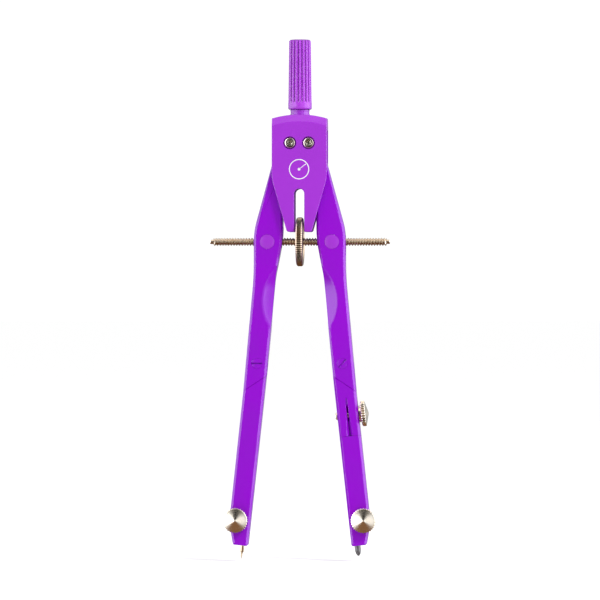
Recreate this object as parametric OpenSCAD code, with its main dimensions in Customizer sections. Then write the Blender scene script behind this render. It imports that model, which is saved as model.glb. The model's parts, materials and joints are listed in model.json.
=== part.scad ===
// Bow compass with a centre wheel. Millimetres, +Z up along the compass, X across the legs,
// -Y the front. The origin lies midway between the legs, at the height of the needle's point.

/* [Handle] */
// Height from the needle's point to the top of the grip
total_h = 170; // [169:0.5:172]
// Diameter of the grip's plain collar
grip_d = 7.7; // [7:0.1:8.5]
// Diameter of the grip at its top
grip_top_d = 7.2; // [6.6:0.1:7.6]
// Number of flutes round the grip
flutes = 18; // [12:1:24]
// Diameter of the neck ring under the grip
neck_d = 6.4; // [6:0.1:7]

/* [Head] */
// Half the width of the head
head_half_w = 8.96; // [8.6:0.02:9.4]
// Thickness of the head, front face to rear face
head_t = 10; // [9.6:0.1:11]
// Height of the head's top edge at its middle
head_top_z = 145.5; // [145:0.1:146]
// Height of the head's bottom edge
head_bottom_z = 107.2; // [106.5:0.1:108]
// Width of the wheel slot
slot_w = 3.3; // [3.2:0.05:3.6]
// Height of the round top of the wheel slot
slot_top_z = 121.3; // [121:0.1:122]

/* [Legs] */
// Distance of each pivot from the middle
pivot_x = 3.04; // [3:0.01:3.1]
// Height of the pivots
pivot_z = 136.2; // [136:0.1:136.4]
// Thickness of the legs, front to rear
leg_t = 6; // [5.6:0.1:6.2]
// Width of the lower legs
leg_w = 6.96; // [6.8:0.02:7.2]
// Distance of each knee screw from the middle
knee_x = 13.95; // [13.8:0.05:14.1]
// Height of the knee screws
knee_z = 64.3; // [64:0.1:64.6]
// Outward lean of the lower legs in degrees
lean = 6.2; // [6:0.05:6.4]
// Number of teeth that a full gear of the leg tops would have
gear_teeth = 12; // [12:1:12]

/* [Spindle and wheel] */
// Height of the spindle with the compass at rest
spindle_z = 104; // [103.8:0.1:104.2]
// Distance of each swivel nut from the middle
nut_x = 10.55; // [10.5:0.01:10.6]
// Diameter of the swivel nuts
nut_d = 4.75; // [4.6:0.05:4.9]
// Major diameter of the thread
spindle_d = 2.67; // [2.6:0.01:2.7]
// Length of the spindle over its turned-down tips
spindle_l = 58.8; // [58:0.2:60]
// Diameter of the adjusting wheel
wheel_d = 16; // [15:0.1:16]
// Thickness of the adjusting wheel
wheel_t = 2.2; // [2:0.05:2.2]
// Number of teeth in the wheel's knurl
wheel_teeth = 72; // [60:2:100]

/* [Clamp screws] */
// Diameter of the knurled screw heads
thumb_d = 8.3; // [8:0.1:8.6]
// Thickness of the knurled rim
thumb_rim = 1.45; // [1.3:0.05:1.6]
// Height of the conical face above the rim
thumb_cone = 1; // [0.8:0.05:1.2]
// Number of teeth in the screws' knurl
thumb_teeth = 30; // [24:1:36]
// Diameter of the screws' shanks
thumb_shank_d = 2.4; // [2.2:0.05:2.5]

/* [Points] */
// Diameter of the needle's shank
needle_d = 1.25; // [1.1:0.05:1.3]
// Diameter of the lead
lead_d = 2; // [1.9:0.05:2.1]

/* [Hidden] */
$fn = 64;

enamel = "#9410d2";
light_enamel = "#aa30dc";
nickel = "#c9c3b8";
brass = "#c9a24a";
graphite = "#4a4a4e";

running = 0.025;        // radial clearance of parts that turn in each other
loose = 0.05;           // gap between flat faces that slide past each other
over = 1;               // how far cutters run past the faces they cut

grip_z = 147.2;         // foot of the grip
flute_z = 149.5;        // lower end of the flutes
flute_r = 0.42;         // radius of the flute cutter
flute_depth = 0.26;
neck_z = 145.3;         // foot of the neck ring
stud_r = 1.5;
stud_top_z = 160;
flange_r = 2.2;
flange_z = 141.9;
flange_t = 1.2;

gap_y = leg_t / 2 + loose;                 // half the gap between the head's plates
block_z = 140.3;                           // the two halves of the head meet above this height
top_arc_r = 31.5;
top_arc_z = head_top_z - top_arc_r;
band_h = 2.4;                              // height of the sloping band along the top
band_t = 1.2;                              // how far the band falls back
side_z = 144.25;                           // height of the top edge at the sides
shoulder_z = 124.5;
foot_half_w = 4;

pivot_bore_r = 1.55;
bush_r = pivot_bore_r - running;
pivot_shank_r = 0.8;
screw_recess_r = 2.1;
screw_recess = 1.2;
screw_head_r = 1.8;
screw_head_t = 0.95;
hex_r = 1.75;
hex_t = 1.25;

gear_module = 2 * pivot_x / gear_teeth;
gear_pitch_r = pivot_x;
gear_base_r = gear_pitch_r * cos(25);      // 25 degree stub teeth
gear_tip_r = gear_pitch_r + 0.75 * gear_module;
gear_root_r = gear_pitch_r - 1.05 * gear_module;
tooth_half = 90 / gear_teeth - 1.4;        // half a tooth at the pitch circle, less backlash
hub_r = 3.9;
hub_lean = 15.35;                          // lean of the leg's outer edge inside the head

slot_y = 1.55;                             // half the width of the spindle's way through a leg
fan_open = 31.5;                           // how far the legs swing out and in, with a margin
fan_shut = 7.5;
fan_half_h = spindle_d / 2 + 0.15;
scallop_r = 30;
scallop_z = 84.5;
scallop_in_x = -3.2;                       // centre of the scallop's circle
scallop_depth_y = leg_t / 2 + 25.4;

tongue_t = 2.6;
fork_y = tongue_t / 2 + loose;
tongue_r = 3.3;
knee_in = -3.8;                            // where the knee's slanted face meets each edge
knee_out = -9.6;
knee_gap = 0.08;
knee_head_r = 1.75;
knee_head_t = 0.9;
knee_shank_r = 1;
knee_slot_w = 0.45;

leg_end = -59.6;                           // lower end of the legs, along the lower leg
taper_start = -52.6;
taper_x = 1.45;                            // outer corner of the leg's end
bore_x = -1.6;                             // needle and lead lie inward of the leg's middle
clamp_x = 1.4;                             // clamp screws lie outward of it
clamp_z = -51.65;
slit_w = 0.4;
slit_top = -43;

split_z = -23.85;                          // cross split between socket and insert
split_gap = 0.06;
tenon_r = 1.6;
tenon_l = 5;
saw_w = 0.5;
saw_top = -14.1;
saw_rear_y = 2;                            // how far back the saw slit reaches
saw_disc_r = 8;
saw_disc_depth = 0.6;
insert_screw_z = -17;

tip_l = 1.1;
tip_r = 0.72;
thumb_shoulder_r = 2.7;
thumb_gap = 0.8;
thumb_end = 0.7;                           // how far a clamp screw sticks out of the far side

needle_tip = -64.5;
needle_cone = 2.5;
needle_neck_r = 0.36;
needle_top = -40;
lead_tip = -63;
lead_top = -38;
retract = 2.6;                             // room above needle and lead to slide up

// ---- Outlines ----

function unit(v) = v / norm(v);

function polar(r, a) = r * [cos(a), sin(a)];

function arc_points(c, r, a0, a1, n) = [for (i = [0 : n]) c + polar(r, a0 + (a1 - a0) * i / n)];

// The arc that rounds corner q, [x, z, radius], between its neighbours p and s
function fillet(p, q, s, n) =
  let (corner = [q[0], q[1]],
       u = unit([p[0], p[1]] - corner),
       v = unit([s[0], s[1]] - corner),
       half = acos(u * v) / 2,
       centre = corner + unit(u + v) * q[2] / sin(half),
       from = corner + u * q[2] / tan(half) - centre,
       to = corner + v * q[2] / tan(half) - centre,
       a0 = atan2(from[1], from[0]),
       turn = atan2(from[0] * to[1] - from[1] * to[0], from * to))
  arc_points(centre, q[2], a0, a0 + turn, n);

// An outline from corners [x, z, radius]
function rounded(corners, n = 7) =
  let (count = len(corners))
  [for (i = [0 : count - 1])
    each corners[i][2] == 0
      ? [[corners[i][0], corners[i][1]]]
      : fillet(corners[(i + count - 1) % count], corners[i], corners[(i + 1) % count], n)];

// A ring of pointed teeth
function knurl(r, teeth, depth) =
  [for (i = [0 : 2 * teeth - 1]) polar(r - (i % 2) * depth, 180 * i / teeth)];

// A point given along the right lower leg, in the compass's own X and Z
function knee_point(x, z) =
  [knee_x + x * cos(lean) - z * sin(lean), knee_z + x * sin(lean) + z * cos(lean)];

// Outline in X and Z, as thick as t about y
module plate(points, t, y = 0)
  translate([0, y, 0]) rotate([90, 0, 0])
    linear_extrude(height = t, center = true) polygon(points);

// Cylinder along Y from y0 to y1
module pin_y(x, z, r, y0, y1)
  translate([x, y1, z]) rotate([90, 0, 0]) cylinder(r = r, h = y1 - y0);

// The right lower leg's own frame: the knee at the origin, the leg along -Z
module on_lower_leg() translate([knee_x, 0, knee_z]) rotate([0, -lean, 0]) children();

module left() mirror([1, 0, 0]) children();

// ---- Handle ----

module handle() {
  corner = 0.8;
  foot = 0.35;
  difference() {
    color(light_enamel) rotate_extrude() polygon(concat(
      [[0, grip_z], [grip_d / 2 - foot, grip_z], [grip_d / 2, grip_z + foot],
       [grip_d / 2, flute_z]],
      arc_points([grip_top_d / 2 - corner, total_h - corner], corner, 0, 90, 6),
      [[0, total_h]]));
    for (i = [0 : flutes - 1]) rotate([0, 0, i * 360 / flutes]) flute();
    translate([0, 0, grip_z - over])
      cylinder(r = stud_r + running, h = stud_top_z + running - grip_z + over);
  }
}

// One straight flute, leaning with the grip's taper
module flute() {
  taper = atan((grip_d - grip_top_d) / 2 / (total_h - flute_z));
  translate([grip_d / 2 + flute_r - flute_depth, 0, flute_z]) rotate([0, -taper, 0])
    cylinder(r = flute_r, h = total_h - flute_z + over, $fn = 24);
}

module neck_ring() {
  corner = 0.35;
  top = grip_z;
  color(light_enamel) rotate_extrude() polygon([
    [stud_r + running, neck_z], [neck_d / 2, neck_z], [neck_d / 2, top - corner],
    [neck_d / 2 - corner, top], [stud_r + running, top]]);
}

module handle_stud() color(nickel) {
  translate([0, 0, flange_z]) cylinder(r = flange_r, h = flange_t);
  translate([0, 0, flange_z]) cylinder(r = stud_r, h = stud_top_z - flange_z);
}

// ---- Head ----

head_outline = rounded([
  [head_half_w, shoulder_z, 14], [head_half_w, side_z, 0.3], [-head_half_w, side_z, 0.3],
  [-head_half_w, shoulder_z, 14], [-foot_half_w, head_bottom_z, 0.8],
  [foot_half_w, head_bottom_z, 0.8]]);

// One half of the head, on the front side: its plate and its half of the top block
module head_half() {
  plate_t = head_t / 2 - gap_y;
  slot_r = slot_w / 2;
  difference() {
    intersection() {
      union() {
        plate([for (p = head_outline) [p[0], p[1] > block_z ? p[1] + 2 : p[1]]],
              plate_t, -gap_y - plate_t / 2);
        translate([-head_half_w, -head_t / 2, block_z])
          cube([2 * head_half_w, head_t / 2, head_top_z - block_z]);
      }
      pin_y(0, top_arc_z, top_arc_r, -head_t, over, $fn = 128);
    }
    // the sloping band along the top edge
    translate([0, 0, top_arc_z]) rotate([90, 0, 0]) rotate_extrude($fn = 128) polygon([
      [top_arc_r - band_h, head_t / 2], [top_arc_r + over, head_t / 2 - band_t - over * band_t / band_h],
      [top_arc_r + over, head_t / 2 + over], [top_arc_r - band_h, head_t / 2 + over]]);
    // the wheel slot, open at the bottom
    translate([-slot_r, -head_t, head_bottom_z - over])
      cube([slot_w, head_t, slot_top_z - slot_r - head_bottom_z + over]);
    pin_y(0, slot_top_z - slot_r, slot_r, -head_t, 0);
    // the stud's bore and flange pocket, and the neck ring's seat
    translate([0, 0, block_z - over]) cylinder(r = stud_r + running, h = head_top_z - block_z + 2 * over);
    translate([0, 0, flange_z - running]) cylinder(r = flange_r + running, h = flange_t + 2 * running);
    translate([0, 0, neck_z]) cylinder(r = neck_d / 2 + running, h = over);
    for (x = [-pivot_x, pivot_x]) pin_y(x, pivot_z, pivot_shank_r + running, -head_t, 0);
  }
}

module head_front_cover() color(light_enamel) difference() {
  head_half();
  for (x = [-pivot_x, pivot_x])
    pin_y(x, pivot_z, screw_recess_r, -head_t, -head_t / 2 + screw_recess);
}

module head_rear_cover() color(light_enamel) difference() {
  mirror([0, 1, 0]) head_half();
  for (x = [-pivot_x, pivot_x])
    translate([x, head_t, pivot_z]) rotate([90, 0, 0])
      cylinder(r = hex_r + loose, h = head_t / 2 + hex_t, $fn = 6);
}

// Pivot screw of the right leg: pan head with a cross recess, shank back to the nut
module pivot_screw() {
  seat_y = -head_t / 2 + screw_recess;
  cross_w = 0.5;
  cross_l = 1.9;
  cross_depth = 0.6;
  color(nickel) difference() {
    translate([pivot_x, seat_y, pivot_z]) rotate([90, 0, 0]) union() {
      rotate_extrude() polygon(concat(
        [[0, 0], [screw_head_r, 0]],
        arc_points([screw_head_r - 0.4, screw_head_t - 0.4], 0.4, 0, 90, 4),
        [[0, screw_head_t]]));
      translate([0, 0, -head_t + screw_recess + 0.2]) cylinder(r = pivot_shank_r, h = head_t - screw_recess);
    }
    for (a = [20, 110])
      translate([pivot_x, seat_y - screw_head_t, pivot_z]) rotate([0, a, 0])
        cube([cross_l, 2 * cross_depth, cross_w], center = true);
  }
}

module pivot_bush() color(brass) difference() {
  pin_y(pivot_x, pivot_z, bush_r, -gap_y, gap_y);
  pin_y(pivot_x, pivot_z, pivot_shank_r + running, -head_t, head_t);
}

module pivot_nut() color(nickel) difference() {
  translate([pivot_x, head_t / 2 - 0.05, pivot_z]) rotate([90, 0, 0])
    cylinder(r = hex_r, h = hex_t - 0.1, $fn = 6);
  pin_y(pivot_x, pivot_z, pivot_shank_r + running / 2, -head_t, head_t);
}

// ---- Upper legs ----

// Half the angle of a tooth at radius r, by the involute's rule
function tooth_angle(r) =
  let (flank = r <= gear_base_r ? 0 : acos(gear_base_r / r))
  tooth_half + (tan(25) - tan(flank)) * 180 / PI - 25 + flank;

module gear_tooth(a) {
  steps = [gear_root_r - 0.3, gear_base_r, gear_base_r + 0.08, gear_pitch_r - 0.08, gear_pitch_r + 0.12,
    (gear_pitch_r + gear_tip_r) / 2 + 0.06, gear_tip_r];
  last = len(steps) - 1;
  points = concat(
    [for (r = steps) polar(r, a + tooth_angle(r))],
    [for (i = [last : -1 : 0]) polar(steps[i], a - tooth_angle(steps[i]))]);
  translate([pivot_x, 0, pivot_z]) plate(points, leg_t);
}

pivot = [pivot_x, pivot_z];
tangent = pivot + polar(hub_r, hub_lean);
hip_x = 15;                                // the leg's outer edge beside the nut
hip_z = tangent[1] - (hip_x - tangent[0]) / tan(hub_lean);
inner_x = 5.47;                            // the leg's inner edge inside the head
knee_outer = knee_point(leg_w / 2, knee_out + knee_gap);
knee_inner = knee_point(-leg_w / 2, knee_in + knee_gap);
upper_leg_outline = concat(
  arc_points(pivot, hub_r, 90, hub_lean + 5, 8),
  rounded([
    [tangent[0], tangent[1], 0], [hip_x, hip_z, 25], [hip_x, 93, 100],
    [knee_outer[0], knee_outer[1], 0], [knee_inner[0], knee_inner[1], 0],
    [7.81, 93.03, 40], [inner_x, 104.75, 40], [inner_x, 114, 30],
    [pivot_x - 1, pivot_z - 2.2, 0]]));

// The right upper leg; phase turns its gear teeth so that the two legs mesh
module upper_leg(phase) color(enamel) difference() {
  union() {
    plate(upper_leg_outline, leg_t);
    pin_y(pivot_x, pivot_z, gear_root_r, -leg_t / 2, leg_t / 2);
    for (i = [-1 : 2]) gear_tooth(180 - phase - i * 360 / gear_teeth);
  }
  pin_y(pivot_x, pivot_z, pivot_bore_r, -leg_t, leg_t);
  // the swivel nut's bore and the spindle's way through, which opens as a fan on each side
  pin_y(nut_x, spindle_z, nut_d / 2 + running, -leg_t, leg_t);
  for (side = [0, 180]) translate([nut_x, 0, spindle_z]) rotate([0, side, 0])
    plate(fan_outline, 2 * slot_y);
  // finger scallops, front and rear
  for (y = [-scallop_depth_y, scallop_depth_y])
    translate([scallop_in_x, y, scallop_z]) rotate([90, 0, 0]) sphere(r = scallop_r, $fn = 128);
  // the knee's fork and its screw
  on_lower_leg() {
    translate([0, 0, -12]) cube([20, 2 * fork_y, 24], center = true);
    pin_y(0, 0, tongue_r + 0.15, -fork_y, fork_y);
  }
  pin_y(knee_x, knee_z, knee_shank_r + running / 2, -leg_t, leg_t);
  pin_y(knee_x, knee_z, knee_head_r + running, -leg_t, -leg_t / 2 + knee_head_t);
}

// Room for the spindle on the +X side of the nut; the other side is its point image
fan_outline = [
  fan_corner(0, fan_half_h, fan_shut), fan_corner(0, -fan_half_h, -fan_open),
  fan_corner(9, -fan_half_h, -fan_open), fan_corner(9, fan_half_h, fan_shut)];
function fan_corner(x, z, a) = [x * cos(a) - z * sin(a), x * sin(a) + z * cos(a)];

module knee_screw(slot_angle) color(enamel) difference() {
  union() {
    pin_y(knee_x, knee_z, knee_head_r, -leg_t / 2, -leg_t / 2 + knee_head_t);
    pin_y(knee_x, knee_z, knee_shank_r, -leg_t / 2 + knee_head_t - 0.01, leg_t / 2);
  }
  translate([knee_x, -leg_t / 2, knee_z]) rotate([0, slot_angle, 0])
    cube([2 * leg_w, knee_head_t, knee_slot_w], center = true);
}

// ---- Spindle ----

module swivel_nut() color(light_enamel) difference() {
  pin_y(nut_x, spindle_z, nut_d / 2, -leg_t / 2, leg_t / 2);
  translate([nut_x, 0, spindle_z]) rotate([0, 90, 0])
    cylinder(r = spindle_d / 2 + running, h = 2 * nut_d, center = true);
}

module threaded_spindle() color(nickel) translate([0, 0, spindle_z]) rotate([0, 90, 0]) {
  cylinder(r = spindle_d / 2, h = spindle_l - 2 * tip_l, center = true);
  cylinder(r = tip_r, h = spindle_l, center = true);
}

module adjusting_wheel() color(nickel) translate([0, 0, spindle_z]) rotate([0, 90, 0]) difference() {
  linear_extrude(height = wheel_t, center = true) polygon(knurl(wheel_d / 2, wheel_teeth, 0.22));
  cylinder(r = spindle_d / 2 + running, h = 2 * wheel_t, center = true);
}

// ---- Lower legs ----

// The top of a lower leg: the tongue between the knee's cheeks
module tongue() difference() {
  union() {
    pin_y(0, 0, tongue_r, -tongue_t / 2, tongue_t / 2);
    plate([[-tongue_r, 0], [tongue_r, 0], [tongue_r, knee_out - 1], [-tongue_r, knee_in - 1]], tongue_t);
  }
  pin_y(0, 0, knee_shank_r + running, -leg_t, leg_t);
}

// A leg's lower end: tapered on the outer side, slit and bored for a needle or lead.
// Its top meets the inner edge at in_z and the outer edge at out_z.
module foot(in_z, out_z, bore_r, bore_top) difference() {
  plate(rounded([
    [-leg_w / 2, in_z, 0], [leg_w / 2, out_z, 0], [leg_w / 2, taper_start, 3],
    [taper_x, leg_end, 0.7], [-leg_w / 2, leg_end, 0.7]]), leg_t);
  translate([bore_x, 0, leg_end - over]) cylinder(r = bore_r, h = bore_top - leg_end + over);
  translate([bore_x, -slit_w / 2, leg_end - over]) cube([leg_w, slit_w, slit_top - leg_end + over]);
  pin_y(clamp_x, clamp_z, thumb_shank_d / 2 + running, -leg_t, leg_t);
}

module left_lower_leg() color(enamel) left() on_lower_leg() {
  tongue();
  foot(knee_in, knee_out, needle_d / 2 + running, needle_top + retract + 0.2);
}

module right_knee_socket() color(enamel) on_lower_leg() {
  tongue();
  difference() {
    plate([[-leg_w / 2, split_z + split_gap], [-leg_w / 2, knee_in], [leg_w / 2, knee_out],
      [leg_w / 2, split_z + split_gap]], leg_t);
    translate([0, 0, split_z - over]) cylinder(r = tenon_r + running, h = tenon_l + 0.2 + over);
    // the saw slit, which leaves a wall at the rear and runs out upwards in the disc's curve
    translate([-saw_w / 2, -leg_t, split_z - over])
      cube([saw_w, leg_t + saw_rear_y, saw_top - split_z + over]);
    translate([0, -(leg_t / 2 + saw_disc_r - saw_disc_depth), saw_top]) rotate([0, 90, 0])
      cylinder(r = saw_disc_r, h = saw_w, center = true);
    translate([0, 0, insert_screw_z]) rotate([0, 90, 0])
      cylinder(r = thumb_shank_d / 2 + running, h = 2 * leg_w, center = true);
  }
}

module lead_insert() color(enamel) on_lower_leg() {
  translate([0, 0, split_z - over]) cylinder(r = tenon_r, h = tenon_l + over);
  foot(split_z, split_z, lead_d / 2 + running, lead_top + retract + 0.2);
}

// ---- Clamp screws ----

// A knurled screw: z = 0 is the face it is screwed into, and +Z points out of it
module thumb_screw(shank_l) color(nickel) {
  rim_z = thumb_gap + thumb_rim;
  translate([0, 0, -shank_l]) cylinder(r = thumb_shank_d / 2, h = shank_l + thumb_gap);
  cylinder(r = thumb_shoulder_r, h = thumb_gap);
  translate([0, 0, thumb_gap]) linear_extrude(height = thumb_rim)
    polygon(knurl(thumb_d / 2, thumb_teeth, 0.22));
  translate([0, 0, rim_z]) cylinder(r1 = thumb_d / 2 - 0.3, r2 = 0.5, h = thumb_cone);
}

module foot_screw() on_lower_leg() translate([clamp_x, -leg_t / 2, clamp_z]) rotate([90, 0, 0])
  thumb_screw(leg_t + thumb_end);

module insert_clamp_screw() on_lower_leg() translate([leg_w / 2, 0, insert_screw_z]) rotate([0, 90, 0])
  thumb_screw(leg_w + thumb_end);

// ---- Points ----

module needle() color(nickel) left() on_lower_leg() translate([bore_x, 0, 0]) rotate_extrude() polygon([
  [0, needle_tip], [needle_neck_r, needle_tip + needle_cone], [needle_d / 2, needle_tip + needle_cone + 0.2],
  [needle_d / 2, needle_top], [0, needle_top]]);

module lead() color(graphite) on_lower_leg() translate([bore_x, 0, 0]) rotate_extrude() polygon([
  [0, lead_tip], [0.35, lead_tip + 0.15], [lead_d / 2, lead_tip + 1.6], [lead_d / 2, lead_top],
  [0, lead_top]]);

handle();
neck_ring();
handle_stud();
head_front_cover();
head_rear_cover();
left() pivot_screw();  // left_pivot_screw
pivot_screw();  // right_pivot_screw
left() pivot_bush();  // left_pivot_bush
pivot_bush();  // right_pivot_bush
left() pivot_nut();  // left_pivot_nut
pivot_nut();  // right_pivot_nut
left() upper_leg(0);  // left_upper_leg
upper_leg(-180 / gear_teeth);  // right_upper_leg
left() swivel_nut();  // left_swivel_nut
swivel_nut();  // right_swivel_nut
threaded_spindle();
adjusting_wheel();
left() knee_screw(0);  // left_knee_screw
knee_screw(-50);  // right_knee_screw
left_lower_leg();
right_knee_socket();
lead_insert();
insert_clamp_screw();
left() foot_screw();  // needle_clamp_screw
foot_screw();  // lead_clamp_screw
needle();
lead();
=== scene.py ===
import json
import math

import bmesh
import bpy
from mathutils import Matrix, Vector


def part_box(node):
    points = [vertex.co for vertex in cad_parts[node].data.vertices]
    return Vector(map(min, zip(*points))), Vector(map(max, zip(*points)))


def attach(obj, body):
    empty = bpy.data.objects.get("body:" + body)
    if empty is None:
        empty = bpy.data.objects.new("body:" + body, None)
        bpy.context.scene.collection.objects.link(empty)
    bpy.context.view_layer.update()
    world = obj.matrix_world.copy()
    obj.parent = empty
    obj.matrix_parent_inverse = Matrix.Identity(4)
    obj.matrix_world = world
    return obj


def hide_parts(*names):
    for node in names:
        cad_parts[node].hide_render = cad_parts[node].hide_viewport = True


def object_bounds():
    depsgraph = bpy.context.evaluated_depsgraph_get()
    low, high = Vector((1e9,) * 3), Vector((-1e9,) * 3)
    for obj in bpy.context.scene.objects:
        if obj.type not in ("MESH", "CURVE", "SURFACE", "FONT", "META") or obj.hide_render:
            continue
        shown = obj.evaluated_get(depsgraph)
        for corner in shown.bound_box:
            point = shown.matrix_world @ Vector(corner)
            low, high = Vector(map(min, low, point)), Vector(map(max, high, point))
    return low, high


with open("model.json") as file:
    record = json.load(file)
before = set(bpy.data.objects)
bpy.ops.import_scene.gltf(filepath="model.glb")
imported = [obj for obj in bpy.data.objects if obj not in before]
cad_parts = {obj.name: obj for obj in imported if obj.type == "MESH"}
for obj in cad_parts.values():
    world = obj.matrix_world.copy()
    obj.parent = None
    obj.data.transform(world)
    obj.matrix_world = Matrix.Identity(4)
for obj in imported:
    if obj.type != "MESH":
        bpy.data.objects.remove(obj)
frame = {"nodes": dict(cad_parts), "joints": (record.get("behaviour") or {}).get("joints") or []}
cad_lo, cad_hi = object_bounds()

# A purple bow compass. Pieces are modelled in millimetres and scaled into the frame's metres.
# +Z runs up along the compass, X across the legs, and the front faces -Y.

MM = 0.001
JOINTS = {joint["name"]: joint for joint in frame["joints"]}


def joint_place(name):
    return Vector(JOINTS[name]["pos_m"]) / MM


def joint_axis(name):
    return Vector(JOINTS[name]["axis"]).normalized()


def span(node):
    """Lowest and highest corner of a CAD node, in millimetres."""
    low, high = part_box(node)
    return low / MM, high / MM


# ---- Camera, floor and light ----

VIEW_AZIMUTH = math.radians(3.5)
CAMERA_DISTANCE = 1.6
FRAME_HEIGHT = 0.196          # what the picture spans at the compass, in metres
DAYLIGHT = 1.05               # brightness of the white studio


def add_camera(target):
    data = bpy.data.cameras.new("bench_camera")
    data.lens = data.sensor_width * CAMERA_DISTANCE / FRAME_HEIGHT
    data.clip_end = 20
    camera = bpy.data.objects.new("bench_camera", data)
    back = Vector((math.sin(VIEW_AZIMUTH), -math.cos(VIEW_AZIMUTH), 0))
    camera.location = target + back * CAMERA_DISTANCE
    camera.rotation_euler = (-back).to_track_quat("-Z", "Y").to_euler()
    bpy.context.scene.collection.objects.link(camera)
    bpy.context.scene.camera = camera


def add_lamp(name, place, target, size, watts):
    """A soft square lamp that points from place to target and leaves no reflection of itself."""
    data = bpy.data.lights.new(name, "AREA")
    data.size = size
    data.energy = watts
    lamp = bpy.data.objects.new(name, data)
    lamp.location = place
    lamp.rotation_euler = (Vector(target) - Vector(place)).to_track_quat("-Z", "Y").to_euler()
    lamp.visible_glossy = False
    bpy.context.scene.collection.objects.link(lamp)


def node(tree, kind, **settings):
    made = tree.nodes.new(kind)
    for key, value in settings.items():
        setattr(made, key, value)
    return made


def maths(tree, operation, a, b=None, clamp=False):
    """A Math node on two values or sockets; it returns the result's socket."""
    made = node(tree, "ShaderNodeMath", operation=operation, use_clamp=clamp)
    for socket, value in zip(made.inputs, (a, b)):
        if isinstance(value, bpy.types.NodeSocket):
            tree.links.new(value, socket)
        elif value is not None:
            socket.default_value = value
    return made.outputs[0]


def blend_colour(tree, factor, first, second):
    """A colour mix; first and second are colours or sockets."""
    made = node(tree, "ShaderNodeMix", data_type="RGBA")
    tree.links.new(factor, made.inputs[0])
    for socket, value in ((made.inputs[6], first), (made.inputs[7], second)):
        if isinstance(value, bpy.types.NodeSocket):
            tree.links.new(value, socket)
        else:
            socket.default_value = (*value, 1)
    return made.outputs[2]


def colour_ramp(tree, value, stops):
    """A ramp over value; stops are (position, colour) rows."""
    ramp = node(tree, "ShaderNodeValToRGB")
    tree.links.new(value, ramp.inputs["Fac"])
    elements = ramp.color_ramp.elements
    while len(elements) < len(stops):
        elements.new(0.5)
    for element, (position, colour) in zip(elements, stops):
        element.position = position
        element.color = (*colour, 1)
    return ramp.outputs["Color"]


# Brightness of what surrounds the bench, by degrees from straight ahead; + is to the right.
WALLS = [(-180, 0.4), (-150, 0.5), (-125, 1.5), (-97, 4.5), (-75, 5.0), (-38, 5.0), (-31, 1.7), (-23, 1.3),
         (-16, 0.02), (14, 0.02), (21, 1.3), (48, 1.5), (58, 5.0), (100, 5.0), (125, 1.5), (150, 0.5),
         (180, 0.4)]
BENCH = (0.26, 0.13, 0.06)
CEILING = (1.6, 1.46, 1.3)
WALL_POWER = 5.0              # a ramp holds colours up to 1, so it is scaled by this


def build_surroundings():
    """A white studio; glossy surfaces see soft boxes at the sides, a dark front and a brown bench."""
    world = bpy.data.worlds.new("studio")
    bpy.context.scene.world = world
    world.use_nodes = True
    tree = world.node_tree
    tree.nodes.clear()
    place = node(tree, "ShaderNodeTexCoord")
    axes = node(tree, "ShaderNodeSeparateXYZ")
    tree.links.new(place.outputs["Generated"], axes.inputs[0])
    ahead = maths(tree, "MULTIPLY", axes.outputs["Y"], -1.0)
    turn = maths(tree, "ARCTAN2", axes.outputs["X"], ahead)
    turn = maths(tree, "ADD", maths(tree, "MULTIPLY", turn, 0.5 / math.pi), 0.5)
    walls = colour_ramp(
        tree, turn, [((angle + 180) / 360, (level / WALL_POWER,) * 3) for angle, level in WALLS])
    bright = node(tree, "ShaderNodeVectorMath", operation="SCALE")
    bright.inputs["Scale"].default_value = WALL_POWER
    tree.links.new(walls, bright.inputs[0])
    below = maths(tree, "MULTIPLY", maths(tree, "SUBTRACT", -0.26, axes.outputs["Z"]), 8.0, clamp=True)
    above = maths(tree, "MULTIPLY", maths(tree, "SUBTRACT", axes.outputs["Z"], 0.66), 8.0, clamp=True)
    reflected = blend_colour(tree, above, bright.outputs[0], CEILING)
    reflected = blend_colour(tree, below, reflected, BENCH)
    rays = node(tree, "ShaderNodeLightPath")
    seen = blend_colour(tree, rays.outputs["Is Glossy Ray"], (DAYLIGHT,) * 3, reflected)
    background = node(tree, "ShaderNodeBackground")
    tree.links.new(seen, background.inputs["Color"])
    output = node(tree, "ShaderNodeOutputWorld")
    tree.links.new(background.outputs[0], output.inputs["Surface"])


def add_floor():
    bm = bmesh.new()
    bmesh.ops.create_grid(bm, x_segments=2, y_segments=2, size=30)
    mesh = bpy.data.meshes.new("floor")
    bm.to_mesh(mesh)
    bm.free()
    floor = bpy.data.objects.new("floor", mesh)
    floor.location.z = cad_lo.z - 0.0004
    floor.visible_glossy = False
    bpy.context.scene.collection.objects.link(floor)
    material = bpy.data.materials.new("pale_floor")
    material.use_nodes = True
    shader = material.node_tree.nodes["Principled BSDF"]
    shader.inputs["Base Color"].default_value = (0.95, 0.95, 0.95, 1)
    shader.inputs["Roughness"].default_value = 0.9
    shader.inputs["Specular IOR Level"].default_value = 0.0
    mesh.materials.append(material)


middle = (cad_lo + cad_hi) / 2
add_camera(Vector((0, 0, middle.z)))
build_surroundings()
add_floor()
add_lamp("key_lamp", (0.75, -0.65, 0.9), middle, 0.25, 9.0)
bpy.context.scene.view_settings.view_transform = "Standard"


# ---- Shared surface effects ----

def new_group(name, inputs, outputs):
    """An empty shader group; inputs and outputs are (name, socket kind, default) rows."""
    group = bpy.data.node_groups.new(name, "ShaderNodeTree")
    for side, rows in (("INPUT", inputs), ("OUTPUT", outputs)):
        for label, kind, default in rows:
            socket = group.interface.new_socket(label, in_out=side, socket_type="NodeSocket" + kind)
            if default is not None:
                socket.default_value = default
    return group, node(group, "NodeGroupInput"), node(group, "NodeGroupOutput")


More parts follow.
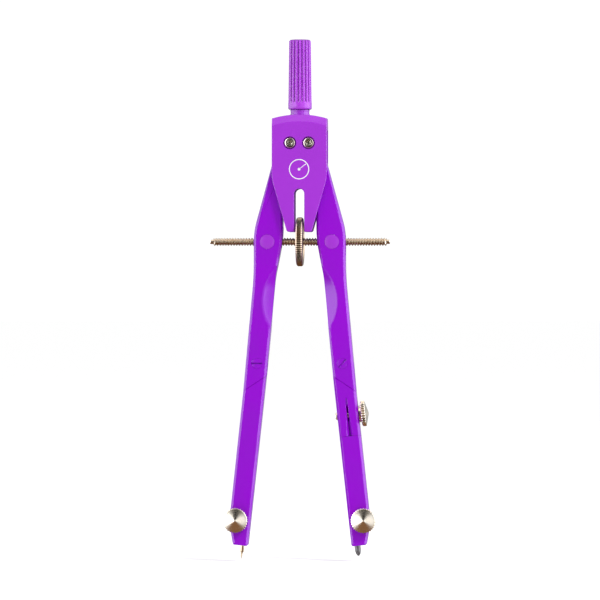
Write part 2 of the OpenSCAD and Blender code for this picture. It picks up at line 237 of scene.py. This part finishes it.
def make_paint_skin():
    """Fine orange peel and cloudy thickness, as sprayed enamel has on cast metal."""
    group, given, out = new_group(
        "paint_skin",
        [("Vector", "Vector", None), ("Peel Scale", "Float", 900.0), ("Cloud Scale", "Float", 60.0)],
        [("Height", "Float", None), ("Cloud", "Float", None)])
    peel = node(group, "ShaderNodeTexNoise")
    peel.inputs["Detail"].default_value = 3.0
    cloud = node(group, "ShaderNodeTexNoise")
    cloud.inputs["Detail"].default_value = 4.0
    for texture, scale in ((peel, "Peel Scale"), (cloud, "Cloud Scale")):
        group.links.new(given.outputs["Vector"], texture.inputs["Vector"])
        group.links.new(given.outputs[scale], texture.inputs["Scale"])
    group.links.new(peel.outputs["Fac"], out.inputs["Height"])
    group.links.new(cloud.outputs["Fac"], out.inputs["Cloud"])
    return group


def make_turning_marks():
    """Fine rings about the vector's Z axis, as a lathe leaves them, with a broken sheen."""
    group, given, out = new_group(
        "turning_marks",
        [("Vector", "Vector", None), ("Ring Scale", "Float", 1500.0), ("Streak Scale", "Float", 250.0)],
        [("Height", "Float", None), ("Streak", "Float", None)])
    rings = node(group, "ShaderNodeTexWave", wave_type="RINGS", rings_direction="Z")
    rings.inputs["Distortion"].default_value = 1.5
    streak = node(group, "ShaderNodeTexNoise")
    streak.inputs["Detail"].default_value = 3.0
    for texture, scale in ((rings, "Ring Scale"), (streak, "Streak Scale")):
        group.links.new(given.outputs["Vector"], texture.inputs["Vector"])
        group.links.new(given.outputs[scale], texture.inputs["Scale"])
    group.links.new(rings.outputs["Fac"], out.inputs["Height"])
    group.links.new(streak.outputs["Fac"], out.inputs["Streak"])
    return group


PAINT_SKIN = make_paint_skin()
TURNING_MARKS = make_turning_marks()


def place_group(tree, group, vector, **values):
    made = node(tree, "ShaderNodeGroup", node_tree=group)
    tree.links.new(vector, made.inputs["Vector"])
    for label, value in values.items():
        made.inputs[label.replace("_", " ")].default_value = value
    return made


def start_material(name):
    material = bpy.data.materials.new(name)
    material.use_nodes = True
    tree = material.node_tree
    return material, tree, tree.nodes["Principled BSDF"]


def add_bump(tree, shader, height, strength, distance):
    bump = node(tree, "ShaderNodeBump")
    bump.inputs["Strength"].default_value = strength
    bump.inputs["Distance"].default_value = distance
    tree.links.new(height, bump.inputs["Height"])
    tree.links.new(bump.outputs["Normal"], shader.inputs["Normal"])


def spread(tree, value, low, high):
    """Maps a noise value, which lies mostly between 0.3 and 0.7, to low and high."""
    ramp = node(tree, "ShaderNodeMapRange")
    ramp.inputs["From Min"].default_value = 0.3
    ramp.inputs["From Max"].default_value = 0.7
    ramp.inputs["To Min"].default_value = low
    ramp.inputs["To Max"].default_value = high
    tree.links.new(value, ramp.inputs["Value"])
    return ramp.outputs["Result"]


def flute_depth(tree, position, floor, land, lean):
    """1 at the floor of the grip's flutes and 0 on the lands, the mask of the painted flute shade; lean is
    how fast the grip narrows.
    """
    axes = node(tree, "ShaderNodeSeparateXYZ")
    tree.links.new(position, axes.inputs[0])
    squares = [maths(tree, "MULTIPLY", axes.outputs[axis], axes.outputs[axis]) for axis in "XY"]
    out = maths(tree, "SQRT", maths(tree, "ADD", *squares))
    out = maths(tree, "ADD", out, maths(tree, "MULTIPLY", axes.outputs["Z"], lean))
    return maths(tree, "MULTIPLY", maths(tree, "SUBTRACT", land, out), 1 / (land - floor), clamp=True)


def clouded(name, first, second, roughness, peel, cloud):
    """A material that drifts in soft clouds between two colours and two values of roughness.

    It returns the material, tree, shader, paint skin node and the colour's socket.
    """
    material, tree, shader = start_material(name)
    place = node(tree, "ShaderNodeTexCoord")
    skin = place_group(tree, PAINT_SKIN, place.outputs["Object"], Peel_Scale=peel, Cloud_Scale=cloud)
    colour = blend_colour(tree, spread(tree, skin.outputs["Cloud"], 0.0, 1.0), first, second)
    tree.links.new(colour, shader.inputs["Base Color"])
    tree.links.new(spread(tree, skin.outputs["Cloud"], *roughness), shader.inputs["Roughness"])
    return material, tree, shader, skin, colour


def enamel(name, thin, thick, gloss, specular=0.42, flutes=None):
    """Sprayed enamel: thin and thick are its colours where the coat is thinner and thicker.

    flutes is (floor, land, lean) in metres for a grip, whose flutes get painted shade: the colour darkens
    towards their floor.
    """
    material, tree, shader, skin, coat = clouded(name, thin, thick, (gloss, gloss + 0.07), 1400.0, 90.0)
    if flutes:
        position = node(tree, "ShaderNodeTexCoord").outputs["Object"]
        # Painted shade: towards each flute's floor the colour darkens to 0.45 of the thick colour, standing
        # in for the shade that falls in the grooves.
        painted_flute_shade = maths(tree, "MULTIPLY", flute_depth(tree, position, *flutes), 0.8)
        coat = blend_colour(tree, painted_flute_shade, coat, tuple(0.45 * c for c in thick))
        tree.links.new(coat, shader.inputs["Base Color"])
    shader.inputs["Specular IOR Level"].default_value = specular
    add_bump(tree, shader, skin.outputs["Height"], 0.3, 0.00001)
    return material


def turned_metal(name, colour, roughness, centre, axis, tint=(1.0, 0.93, 0.82)):
    """Plated or bare metal with lathe rings about the line through centre, in millimetres."""
    material, tree, shader = start_material(name)
    place = node(tree, "ShaderNodeTexCoord")
    mapping = node(tree, "ShaderNodeMapping", vector_type="TEXTURE")
    mapping.inputs["Location"].default_value = Vector(centre) * MM
    mapping.inputs["Rotation"].default_value = Vector(axis).to_track_quat("Z", "Y").to_euler()
    tree.links.new(place.outputs["Object"], mapping.inputs["Vector"])
    marks = place_group(tree, TURNING_MARKS, mapping.outputs["Vector"])
    warm = tuple(c * t for c, t in zip(colour, tint))
    sheen = spread(tree, marks.outputs["Streak"], 0.0, 1.0)
    tree.links.new(blend_colour(tree, sheen, colour, warm), shader.inputs["Base Color"])
    shader.inputs["Metallic"].default_value = 1.0
    grain = spread(tree, marks.outputs["Streak"], roughness, roughness + 0.1)
    tree.links.new(grain, shader.inputs["Roughness"])
    add_bump(tree, shader, marks.outputs["Height"], 0.25, 0.00001)
    return material


def graphite_material():
    material, tree, shader, skin, _ = clouded(
        "burnished_graphite", (0.10, 0.10, 0.105), (0.17, 0.17, 0.18), (0.32, 0.48), 3000.0, 900.0)
    shader.inputs["Metallic"].default_value = 0.35
    add_bump(tree, shader, skin.outputs["Height"], 0.4, 0.00002)
    return material


def ink_material():
    return clouded("pale_print", (0.72, 0.70, 0.74), (0.62, 0.60, 0.64), (0.45, 0.6), 4000.0, 700.0)[0]


# ---- Making pieces ----

def place_piece(name, bm, body, material, stands_for=(), sharp=35.0):
    """Turns a millimetre bmesh into a finished piece that rides on a body."""
    bmesh.ops.scale(bm, vec=(MM, MM, MM), verts=bm.verts)
    mesh = bpy.data.meshes.new(name)
    bm.to_mesh(mesh)
    bm.free()
    mesh.materials.append(material)
    mesh.polygons.foreach_set("use_smooth", [True] * len(mesh.polygons))
    mesh.set_sharp_from_angle(angle=math.radians(sharp))
    piece = bpy.data.objects.new(name, mesh)
    bpy.context.scene.collection.objects.link(piece)
    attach(piece, body)
    if stands_for:
        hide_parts(*stands_for)
    return piece


def level_shadows(piece):
    """Keeps flat faces flat-looking next to their narrow bevels."""
    weighting = piece.modifiers.new("even_faces", "WEIGHTED_NORMAL")
    weighting.keep_sharp = True
    weighting.weight = 100


def join(*parts):
    """One bmesh from several; the others are freed."""
    whole = parts[0]
    for part in parts[1:]:
        mesh = bpy.data.meshes.new("part")
        part.to_mesh(mesh)
        part.free()
        whole.from_mesh(mesh)
        bpy.data.meshes.remove(mesh)
    return whole


def turned(levels, segments=48, waves=0, sharpness=1.0, phase=0.0, bored=False):
    """A closed solid about Z from rings (height, radius, groove depth), with that many grooves."""
    bm = bmesh.new()
    verts = bmesh.ops.create_circle(bm, segments=segments, radius=1)["verts"]
    first_edges = edges = bm.edges[:]
    for index, (z, radius, *depth) in enumerate(levels):
        if index:
            grown = bmesh.ops.extrude_edge_only(bm, edges=edges)["geom"]
            edges = [e for e in grown if isinstance(e, bmesh.types.BMEdge)]
            verts = [v for v in grown if isinstance(v, bmesh.types.BMVert)]
        for v in verts:
            angle = math.atan2(v.co.y, v.co.x)
            groove = sum(depth) * (0.5 + 0.5 * math.cos(waves * (angle - phase))) ** sharpness
            v.co = ((radius - groove) * math.cos(angle), (radius - groove) * math.sin(angle), z)
    if bored:
        bmesh.ops.bridge_loops(bm, edges=first_edges + edges)
    else:
        bmesh.ops.holes_fill(bm, edges=bm.edges, sides=0)
    bmesh.ops.recalc_face_normals(bm, faces=bm.faces)
    return bm


def turn_to(bm, centre, axis):
    """Moves a shape made about Z so that Z runs along axis and its origin is at centre."""
    turn = Vector(axis).to_track_quat("Z", "Y").to_matrix().to_4x4()
    bmesh.ops.transform(bm, matrix=Matrix.Translation(centre) @ turn, verts=bm.verts)
    return bm


def cad_copy(name, parting=None):
    """A merged copy of a CAD node's mesh, in millimetres, with its flat faces made whole.

    parting is a (place, direction) plane where the flat faces stay parted.
    """
    bm = bmesh.new()
    bm.from_mesh(frame["nodes"][name].data)
    bmesh.ops.scale(bm, vec=(1 / MM, 1 / MM, 1 / MM), verts=bm.verts)
    bmesh.ops.remove_doubles(bm, verts=bm.verts, dist=0.002)
    cut = []
    if parting:
        geometry = bm.verts[:] + bm.edges[:] + bm.faces[:]
        cut = bmesh.ops.bisect_plane(bm, geom=geometry, plane_co=parting[0], plane_no=parting[1])["geom_cut"]
    edges = [edge for edge in bm.edges if edge not in cut]
    bmesh.ops.dissolve_limit(bm, angle_limit=math.radians(0.5), verts=bm.verts, edges=edges)
    return bm


def corners(bm, wanted, least=25.0):
    """Edges whose two faces meet at more than least degrees, and that wanted(edge) picks."""
    return [e for e in bm.edges
            if len(e.link_faces) == 2 and e.calc_face_angle() > math.radians(least) and wanted(e)]


def bevel(bm, edges, width, segments, clamp=True):
    return bmesh.ops.bevel(
        bm, geom=edges, offset=width, offset_type="OFFSET", affect="EDGES", segments=segments,
        profile=0.5, material=-1, clamp_overlap=clamp)["faces"]


def chamfer(bm, edges, width, rounding):
    """A flat chamfer whose own two edges are rounded a little."""
    faces = set(bevel(bm, edges, width, 1, clamp=False))
    rims = [e for e in bm.edges
            if len(e.link_faces) == 2 and (e.link_faces[0] in faces) != (e.link_faces[1] in faces)]
    bevel(bm, rims, rounding, 2, clamp=False)


def middle_of(edge):
    return (edge.verts[0].co + edge.verts[1].co) / 2


def beside(edge, centre, radius):
    """True if an edge lies within radius of a line along Y through centre."""
    at = middle_of(edge)
    return math.hypot(at.x - centre.x, at.z - centre.z) < radius


# ---- Places on the compass ----

left_nut = joint_place("left_nut_level")
right_nut = joint_place("right_nut_level")
left_knee = joint_place("left_knee_bend")
right_knee = joint_place("right_knee_bend")
needle_screw_at = joint_place("needle_screw_turn")
lead_screw_at = joint_place("lead_screw_turn")
insert_screw_at = joint_place("insert_screw_turn")
wheel_at = joint_place("wheel_turn")
ACROSS = joint_axis("wheel_turn")
DOWN_LEFT = joint_axis("needle_slide")
DOWN_RIGHT = joint_axis("lead_slide")
FRONT = Vector((0, -1, 0))


# ---- Finishes ----

NICKEL = (0.80, 0.76, 0.70)
STEEL = (0.60, 0.54, 0.47)
WHEEL_STEEL = (0.40, 0.33, 0.27)
BRASS = (0.78, 0.56, 0.25)

leg_enamel = enamel("purple_enamel", (0.232, 0.0014, 0.485), (0.212, 0.001, 0.455), 0.14, specular=0.34)
head_enamel = enamel("pale_purple_enamel", (0.290, 0.0245, 0.505), (0.268, 0.019, 0.475), 0.2)
graphite = graphite_material()
print_ink = ink_material()
wheel_nickel = turned_metal("wheel_nickel", WHEEL_STEEL, 0.26, wheel_at, ACROSS)
spindle_nickel = turned_metal("spindle_nickel", STEEL, 0.22, wheel_at, ACROSS)


# ---- Grip and neck ----

def make_grip():
    low, high = span("handle")
    radius = high.x
    flute_foot, corner, lean = 2.3, 0.8, 0.25
    levels = [(low.z, radius - 0.35), (low.z + 0.12, radius - 0.12), (low.z + 0.35, radius),
              (low.z + flute_foot - 0.35, radius), (low.z + flute_foot, radius - 0.01, 0.03),
              (low.z + flute_foot + 0.3, radius - 0.02, 0.42)]
    levels += [(low.z + flute_foot + step, radius - 0.02 - lean * step / 20, 0.46) for step in (6, 12, 19)]
    levels.append((high.z - corner, radius - lean, 0.46))
    for step in range(1, 7):
        angle = step * math.pi / 12
        levels.append((high.z - corner + corner * math.sin(angle),
                       radius - lean - corner + corner * math.cos(angle), 0.46 * math.cos(angle)))
    levels.append((high.z, 1.6))
    bm = turned(levels, segments=288, waves=18, sharpness=2.2, phase=math.radians(3.5))
    slope = lean / 20
    land = (radius - 0.06 + (low.z + flute_foot) * slope) * MM
    # The grip's enamel carries painted shade in its flutes.
    coat = enamel("grip_enamel", (0.335, 0.036, 0.55), (0.31, 0.028, 0.52), 0.2,
                  flutes=(land - 0.38 * MM, land, slope))
    place_piece("grip", bm, "head", coat, ["handle"], sharp=80)


def make_neck():
    low, high = span("neck_ring")
    radius = high.x
    bm = turned([(low.z, radius), (low.z + 0.2, radius), (low.z + 0.55, radius - 0.14),
                 (low.z + 1.0, radius - 0.16), (low.z + 1.4, radius - 0.1), (high.z - 0.28, radius),
                 (high.z - 0.08, radius - 0.12), (high.z, radius - 0.35)], segments=96)
    place_piece("neck", bm, "head", head_enamel, ["neck_ring"], sharp=60)


make_grip()
make_neck()


# ---- Head ----

def cast_cover(name):
    """A half of the head, its outer corners rounded and the rest just broken."""
    low, high = span(name)
    face_y = low.y if "front" in name else high.y
    bm = cad_copy(name)

    def outer(edge):
        if any(beside(edge, joint_place(joint), 2.4) for joint in ("left_leg_swing", "right_leg_swing")):
            return False
        return max(abs(face_y - v.co.y) for v in edge.verts) < 1.25
    bevel(bm, corners(bm, outer, 15), 0.22, 3)
    level_shadows(place_piece(name + "_cast", bm, "head", head_enamel, [name], sharp=40))


cast_cover("head_front_cover")
cast_cover("head_rear_cover")


def make_pivot_screw(side):
    name = side + "_pivot_screw"
    bm = cad_copy(name)
    face = span(name)[0].y
    bevel(bm, corners(bm, lambda e: all(v.co.y < face + 0.05 for v in e.verts)), 0.07, 2)
    metal = turned_metal(name + "_nickel", NICKEL, 0.2, joint_place(side + "_leg_swing"), FRONT)
    place_piece(name + "_head", bm, "head", metal, [name], sharp=30)


def make_pivot_nut(side):
    name = side + "_pivot_nut"
    bm = cad_copy(name)
    face = span(name)[1].y
    bevel(bm, corners(bm, lambda e: all(v.co.y > face - 0.05 for v in e.verts)), 0.12, 2)
    metal = turned_metal(name + "_nickel", NICKEL, 0.25, joint_place(side + "_leg_swing"), FRONT)
    place_piece(name + "_hex", bm, "head", metal, [name], sharp=30)


for side in ("left", "right"):
    make_pivot_screw(side)
    make_pivot_nut(side)


def make_printed_mark():
    """A drawn circle with its centre and radius, printed on the front of the head."""
    low, high = span("head_front_cover")
    mark_height = 127.6
    centre = Vector((0, low.y + 0.02, mark_height))
    ring = turned([(0, 3.0), (0.04, 3.0), (0.04, 3.3), (0, 3.3)], segments=96, bored=True)
    dot = turned([(0, 0.45), (0.04, 0.45)], segments=32)
    line = bmesh.new()
    bmesh.ops.create_cube(line, size=1)
    bmesh.ops.scale(line, vec=(2.6, 0.22, 0.04), verts=line.verts)
    bmesh.ops.translate(line, vec=(1.6, 0, 0.02), verts=line.verts)
    bmesh.ops.rotate(line, matrix=Matrix.Rotation(math.radians(38), 3, "Z"), verts=line.verts)
    bm = turn_to(join(ring, dot, line), centre, FRONT)
    place_piece("printed_mark", bm, "head", print_ink)


make_printed_mark()


# ---- Legs ----

LEG_FRONT = span("right_upper_leg")[1].y      # half the legs' thickness
LEG_WIDTH = 6.96
LEG_CHAMFER = 0.72
CHAMFER_ROUNDING = 0.1
RIM_BREAK = 0.09
IN_HEAD = 128                 # above this height the upper legs are bare of chamfers
CLAMP_HOLE_TOP = 48.8         # from the knee down to just above a foot screw's hole


def on_outline(edge):
    """True for an edge of a leg's long outline, on its front or rear face."""
    if any(abs(abs(v.co.y) - LEG_FRONT) > 0.01 for v in edge.verts):
        return False
    sides = [f.normal for f in edge.link_faces if abs(f.normal.y) < 0.2]
    return len(sides) == 1 and abs(sides[0].x) > 0.9


def cast_leg(name, body, holes, top=200.0, parting=None):
    """A leg piece: chamfered along its outline, the rims of its holes and joints just broken.

    holes are (place, radius) rows for what goes through from front to rear.
    """
    bm = cad_copy(name, parting)
    long_edges = corners(bm, lambda e: on_outline(e) and middle_of(e).z < top
                         and not any(beside(e, place, radius) for place, radius in holes))
    chamfer(bm, long_edges, LEG_CHAMFER, CHAMFER_ROUNDING)
    rims = corners(bm, lambda e: middle_of(e).z < top
                   and all(abs(abs(v.co.y) - LEG_FRONT) < 0.01 for v in e.verts)
                   and not any(beside(e, place, radius) for place, radius in holes), least=60)
    bevel(bm, rims, RIM_BREAK, 1, clamp=False)
    level_shadows(place_piece(name + "_cast", bm, body, leg_enamel, [name], sharp=28))


cast_leg("left_upper_leg", "left_leg", [(left_nut, 2.6), (left_knee, 2.0)], top=IN_HEAD)
cast_leg("right_upper_leg", "right_leg", [(right_nut, 2.6), (right_knee, 2.0)], top=IN_HEAD)
cast_leg("left_lower_leg", "needle_leg", [(needle_screw_at, 1.4)],
         parting=(left_knee + DOWN_LEFT * CLAMP_HOLE_TOP, DOWN_LEFT))
cast_leg("right_knee_socket", "lead_socket", [])
cast_leg("lead_insert", "insert", [(lead_screw_at, 1.4)],
         parting=(right_knee + DOWN_RIGHT * CLAMP_HOLE_TOP, DOWN_RIGHT))


def make_knee_screw(side):
    name = side + "_knee_screw"
    bm = cad_copy(name)
    face = span(name)[0].y
    bevel(bm, corners(bm, lambda e: all(v.co.y < face + 0.02 for v in e.verts)), 0.1, 2)
    place_piece(name + "_slotted", bm, side + "_leg", leg_enamel, [name], sharp=30)


def make_swivel_nut(side):
    name = side + "_swivel_nut"
    bm = cad_copy(name)
    low, high = span(name)
    ends = corners(bm, lambda e: all(v.co.y < low.y + 0.02 for v in e.verts)
                   or all(v.co.y > high.y - 0.02 for v in e.verts))
    bevel(bm, ends, 0.12, 2)
    place_piece(name + "_pin", bm, side + "_nut", head_enamel, [name], sharp=30)


for side in ("left", "right"):
    make_knee_screw(side)
    make_swivel_nut(side)


# ---- Spindle and wheel ----

def cut_end(bm, x, side):
    """Cuts a thread square at x and closes the cut; side is 1 to drop what lies beyond +X."""
    geometry = bm.verts[:] + bm.edges[:] + bm.faces[:]
    bmesh.ops.bisect_plane(bm, geom=geometry, plane_co=(x, 0, 0), plane_no=(side, 0, 0), clear_outer=True)
    rim = [e for e in bm.edges if e.is_boundary and all(abs(v.co.x - x) < 1e-4 for v in e.verts)]
    bmesh.ops.edgeloop_fill(bm, edges=rim)


def thread(x0, x1, radius, root, pitch, hand):
    """A threaded length about the X axis through the origin."""
    bm = bmesh.new()
    profile = [(0.0, root), (0.36 * pitch, radius), (0.5 * pitch, radius),
               (0.86 * pitch, root), (pitch, root)]
    steps = 20
    turns = math.ceil((x1 - x0) / pitch) + 2
    verts = [bm.verts.new((x0 - 1.5 * pitch + x, 0, r)) for x, r in profile]
    edges = [bm.edges.new(pair) for pair in zip(verts, verts[1:])]
    bmesh.ops.spin(bm, geom=verts + edges, cent=(0, 0, 0), axis=(hand, 0, 0), dvec=(pitch / steps, 0, 0),
                   angle=2 * math.pi * turns, steps=steps * turns, use_merge=False, use_normal_flip=False)
    bmesh.ops.remove_doubles(bm, verts=bm.verts, dist=0.004)
    cut_end(bm, x0, -1)
    cut_end(bm, x1, 1)
    bmesh.ops.recalc_face_normals(bm, faces=bm.faces)
    return bm


def make_spindle():
    low, high = span("threaded_spindle")
    radius, pitch, tip = high.y, 0.9, 1.1
    middle_x = (low.x + high.x) / 2
    right = thread(0.6, high.x - middle_x - tip, radius, 0.92, pitch, 1)
    left = thread(low.x - middle_x + tip, -0.6, radius, 0.92, pitch, -1)
    parts = [right, left]
    reach = high.x - middle_x
    for side in (1, -1):
        pin = turned([(0, 0.72), (tip + 0.3, 0.72), (tip + 0.5, 0.6)], segments=32)
        parts.append(turn_to(pin, Vector((side * (reach - tip - 0.5), 0, 0)), ACROSS * side))
    hub = turned([(-0.9, radius), (0.9, radius)], segments=40)
    parts.append(turn_to(hub, Vector((0, 0, 0)), ACROSS))
    bm = join(*parts)
    bmesh.ops.translate(bm, vec=(middle_x, 0, wheel_at.z), verts=bm.verts)
    place_piece("spindle_thread", bm, "spindle", spindle_nickel, ["threaded_spindle"], sharp=28)


def make_wheel():
    low, high = span("adjusting_wheel")
    half = (high.x - low.x) / 2
    radius = (high.z - low.z) / 2
    side = [(0.0, 1.4), (0.0, 2.7), (-0.12, 2.95), (-0.3, 3.2), (-0.3, 6.3), (-0.12, 6.5), (0.0, 6.7),
            (0.0, radius - 0.5), (-0.08, radius - 0.36), (-0.36, radius - 0.08, 0.2)]
    levels = [(-half - z, r, *depth) for z, r, *depth in side]
    levels += [(-half + 0.45, radius, 0.34), (half - 0.45, radius, 0.34)]
    levels += [(half + z, r, *depth) for z, r, *depth in reversed(side)]
    bm = turned(levels, segments=432, waves=72, bored=True)
    turn_to(bm, wheel_at, ACROSS)
    place_piece("knurled_wheel", bm, "wheel", wheel_nickel, ["adjusting_wheel"], sharp=24)


make_spindle()
make_wheel()


# ---- Clamp screws ----

SCREW_TIP = 0.7               # what a clamp screw shows on the leg's other side


def make_clamp_screw(name, body, face, axis, shank):
    """A knurled screw with a turned conical face; face is where it enters the leg."""
    gap, rim, cone, radius = 0.8, 1.45, 1.0, 4.15
    top = gap + rim
    levels = [(-shank, 0.75), (-shank + 0.25, 1.12), (-shank + 0.3, 1.2), (0.04, 1.2), (0.06, 2.5),
              (0.16, 2.7), (gap, 2.7), (gap, 3.7), (gap + 0.12, 3.95, 0.1), (gap + 0.3, radius, 0.34),
              (top - 0.25, radius, 0.34), (top - 0.08, radius - 0.16, 0.16), (top, radius - 0.38),
              (top + 0.02, radius - 0.5), (top + cone * 0.5, radius / 2 - 0.1), (top + cone - 0.04, 0.28),
              (top + cone, 0.14)]
    bm = turned(levels, segments=240, waves=30)
    turn_to(bm, face, axis)
    metal = turned_metal(name + "_nickel", NICKEL, 0.16, face, axis)
    place_piece(name + "_knurled", bm, body, metal, [name], sharp=26)


for name, body, at in (("needle_clamp_screw", "needle_screw", needle_screw_at),
                       ("lead_clamp_screw", "lead_screw", lead_screw_at)):
    make_clamp_screw(name, body, Vector((at.x, -LEG_FRONT, at.z)), FRONT, 2 * LEG_FRONT + SCREW_TIP)
make_clamp_screw("insert_clamp_screw", "insert_screw", insert_screw_at, joint_axis("insert_screw_turn"),
                 LEG_WIDTH + SCREW_TIP)


# ---- Needle and lead ----

BORE_INSET = 1.6
NEEDLE_REACH = 64.5           # from the knee's height to the tip, along the bore
LEAD_REACH = 63.0


def knee_line(knee, down, reach):
    """A point on a leg's bore, which runs BORE_INSET inside the leg's middle line."""
    inward = Vector((down.z, 0, -down.x)) if knee.x > 0 else Vector((-down.z, 0, down.x))
    return knee + down * reach + inward * BORE_INSET


def make_needle():
    tip = knee_line(left_knee, DOWN_LEFT, NEEDLE_REACH)
    steel = turned_metal("needle_steel", (0.42, 0.35, 0.27), 0.25, tip, DOWN_LEFT)
    levels = [(0, 0.03), (-1.2, 0.2), (-2.5, 0.36), (-2.6, 0.5), (-2.72, 0.6), (-2.8, 0.625), (-24.4, 0.625)]
    bm = turn_to(turned(levels, segments=40), tip, DOWN_LEFT)
    place_piece("needle_shaft", bm, "needle_point", steel, ["needle"], sharp=25)


def make_lead():
    levels = [(0, 0.12), (-0.06, 0.3), (-0.7, 0.72), (-1.6, 0.985), (-1.75, 1.0), (-24.9, 1.0)]
    bm = turn_to(turned(levels, segments=48), knee_line(right_knee, DOWN_RIGHT, LEAD_REACH), DOWN_RIGHT)
    place_piece("lead_stick", bm, "lead_point", graphite, ["lead"], sharp=25)


make_needle()
make_lead()


# ---- Pieces kept from the frame, and the end ----

brass = turned_metal("bush_brass", BRASS, 0.28, joint_place("left_leg_swing"), FRONT)
for name, metal in (("handle_stud", wheel_nickel), ("left_pivot_bush", brass), ("right_pivot_bush", brass)):
    frame["nodes"][name].data.materials.clear()
    frame["nodes"][name].data.materials.append(metal)
